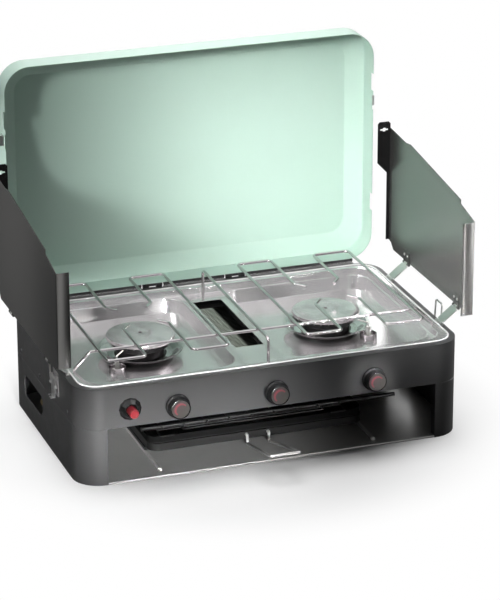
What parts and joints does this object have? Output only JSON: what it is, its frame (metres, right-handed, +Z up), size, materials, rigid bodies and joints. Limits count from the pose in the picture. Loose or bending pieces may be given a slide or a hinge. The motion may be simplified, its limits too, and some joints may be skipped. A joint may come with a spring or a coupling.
{
  "type": "camping stove",
  "caption": "Portable gas camping stove with a folding lid, side wind shields, top burners under a lift-off wire rack, and a grill drawer below the control panel.",
  "frame": {"origin": "on the floor under the middle of the stove as it stands open", "axes": "+X to the stove's right as seen by the user, +Y to the back where the lid stands, +Z up"},
  "size_m": [0.604, 0.4546, 0.5005],
  "materials": {
    "casing": "satin",
    "base_steel": "brushed",
    "rubber": "matte",
    "wire": "bright",
    "tray_steel": "satin",
    "lid_paint": "satin",
    "wing_paint": "gloss",
    "bright_steel": "bright",
    "hinge_dark": "satin",
    "burner_cap": "polished",
    "burner_body": "cast",
    "burner_ring": "polished",
    "ceramic": "glazed",
    "grill_body": "satin",
    "brass": "machined",
    "knob": "matte",
    "spindle": "machined",
    "black_plastic": "matte",
    "button": "gloss",
    "enamel": "gloss"
  },
  "bodies": {
    "stove": {"lower_casing": "casing", "upper_casing": "casing", "base_plate": "base_steel", "support_rails": "base_steel", "feet": "rubber", "pan_rails": "wire", "drip_tray": "tray_steel", "strap_hinge_left": "bright_steel", "strap_hinge_right": "bright_steel", "latch_base_left": "bright_steel", "latch_base_right": "bright_steel", "case_screws": "bright_steel", "case_hinge_leaves": "hinge_dark", "burner_head_left": "burner_body", "burner_head_right": "burner_body", "burner_cups": "burner_body", "mixing_tubes": "burner_body", "grill_tube": "burner_body", "gas_pipe": "burner_body", "burner_ring_left": "burner_ring", "burner_ring_right": "burner_ring", "electrode_left": "ceramic", "electrode_right": "ceramic", "grill_burner": "grill_body", "grill_mesh": "grill_body", "gas_valves": "brass", "gas_inlet": "brass", "igniter_bezel": "black_plastic", "igniter_body": "black_plastic"},
    "lid": {"lid": "lid_paint", "lid_hinge_leaves": "hinge_dark", "latch_keeper_left": "bright_steel", "latch_keeper_right": "bright_steel"},
    "rack": {"pan_rack": "wire"},
    "cap_left": {"burner_cap_left": "burner_cap"},
    "strap_left": {"wing_strap_left": "bright_steel"},
    "wing_left": {"wing_left": "wing_paint", "wing_rivets_left": "bright_steel"},
    "lever_left": {"latch_lever_left": "bright_steel"},
    "bail_left": {"latch_bail_left": "bright_steel"},
    "cap_right": {"burner_cap_right": "burner_cap"},
    "strap_right": {"wing_strap_right": "bright_steel"},
    "wing_right": {"wing_right": "wing_paint", "wing_rivets_right": "bright_steel"},
    "lever_right": {"latch_lever_right": "bright_steel"},
    "bail_right": {"latch_bail_right": "bright_steel"},
    "push_left": {"thrust_collar_left": "spindle"},
    "knob_left": {"knob_left": "knob", "spindle_left": "spindle"},
    "push_grill": {"thrust_collar_grill": "spindle"},
    "knob_grill": {"knob_grill": "knob", "spindle_grill": "spindle"},
    "push_right": {"thrust_collar_right": "spindle"},
    "knob_right": {"knob_right": "knob", "spindle_right": "spindle"},
    "button": {"igniter_button": "button"},
    "pan": {"grill_pan": "enamel", "grill_rack": "enamel", "pan_handle": "enamel"}
  },
  "joints": [
    {"name": "lid_hinge", "type": "hinge", "parent": "stove", "child": "lid", "pos_m": [0, 0.17665, 0.14985], "axis": [1, 0, 0], "range_deg": [0, 90]},
    {"name": "rack_lift", "type": "slide", "parent": "stove", "child": "rack", "axis": [0, 0, -1], "range_m": [-0.03, 0]},
    {"name": "cap_lift_left", "type": "slide", "parent": "stove", "child": "cap_left", "axis": [0, 0, -1], "range_m": [-0.015, 0]},
    {"name": "strap_swing_left", "type": "hinge", "parent": "stove", "child": "strap_left", "pos_m": [-0.2743, 0, 0.1486], "axis": [0, 1, 0], "range_deg": [0, 59.7]},
    {"name": "wing_fold_left", "type": "hinge", "parent": "strap_left", "child": "wing_left", "pos_m": [-0.2998, 0, 0.16874], "axis": [0, 1, 0], "range_deg": [0, 30.3]},
    {"name": "latch_lever_left", "type": "hinge", "parent": "stove", "child": "lever_left", "pos_m": [-0.2846, -0.066, 0.13], "axis": [0, 1, 0], "range_deg": [0, 90]},
    {"name": "latch_bail_left", "type": "hinge", "parent": "lever_left", "child": "bail_left", "pos_m": [-0.2846, -0.066, 0.119], "axis": [0, 1, 0], "range_deg": [-90.01, 0]},
    {"name": "cap_lift_right", "type": "slide", "parent": "stove", "child": "cap_right", "axis": [0, 0, -1], "range_m": [-0.015, 0]},
    {"name": "strap_swing_right", "type": "hinge", "parent": "stove", "child": "strap_right", "pos_m": [0.2743, 0, 0.1486], "axis": [0, -1, 0], "range_deg": [0, 59.7]},
    {"name": "wing_fold_right", "type": "hinge", "parent": "strap_right", "child": "wing_right", "pos_m": [0.2998, 0, 0.16874], "axis": [0, -1, 0], "range_deg": [0, 30.3]},
    {"name": "latch_lever_right", "type": "hinge", "parent": "stove", "child": "lever_right", "pos_m": [0.2846, -0.066, 0.13], "axis": [0, -1, 0], "range_deg": [0, 90]},
    {"name": "latch_bail_right", "type": "hinge", "parent": "lever_right", "child": "bail_right", "pos_m": [0.2846, -0.066, 0.119], "axis": [0, -1, 0], "range_deg": [-90.01, 0]},
    {"name": "knob_push_left", "type": "slide", "parent": "stove", "child": "push_left", "axis": [0, 1, 0], "range_m": [0, 0.003], "stiffness_N_per_m": 1500, "springref_m": -0.002},
    {"name": "knob_turn_left", "type": "hinge", "parent": "push_left", "child": "knob_left", "pos_m": [-0.1415, -0.18, 0.111], "axis": [0, -1, 0], "range_deg": [0, 210]},
    {"name": "knob_push_grill", "type": "slide", "parent": "stove", "child": "push_grill", "axis": [0, 1, 0], "range_m": [0, 0.003], "stiffness_N_per_m": 1500, "springref_m": -0.002},
    {"name": "knob_turn_grill", "type": "hinge", "parent": "push_grill", "child": "knob_grill", "pos_m": [0.001, -0.18, 0.111], "axis": [0, -1, 0], "range_deg": [0, 210]},
    {"name": "knob_push_right", "type": "slide", "parent": "stove", "child": "push_right", "axis": [0, 1, 0], "range_m": [0, 0.003], "stiffness_N_per_m": 1500, "springref_m": -0.002},
    {"name": "knob_turn_right", "type": "hinge", "parent": "push_right", "child": "knob_right", "pos_m": [0.1435, -0.18, 0.111], "axis": [0, -1, 0], "range_deg": [0, 210]},
    {"name": "igniter_push", "type": "slide", "parent": "stove", "child": "button", "axis": [0, 1, 0], "range_m": [0, 0.006], "stiffness_N_per_m": 1500, "springref_m": -0.002},
    {"name": "pan_pull", "type": "slide", "parent": "stove", "child": "pan", "axis": [0, -1, 0], "range_m": [0, 0.14]}
  ],
  "couplings": [
    {"joint": "wing_fold_left", "follows": "strap_swing_left", "ratio": 0.50754},
    {"joint": "wing_fold_right", "follows": "strap_swing_right", "ratio": 0.50754},
    {"joint": "latch_bail_left", "follows": "latch_lever_left", "ratio": -1},
    {"joint": "latch_bail_right", "follows": "latch_lever_right", "ratio": -1}
  ]
}
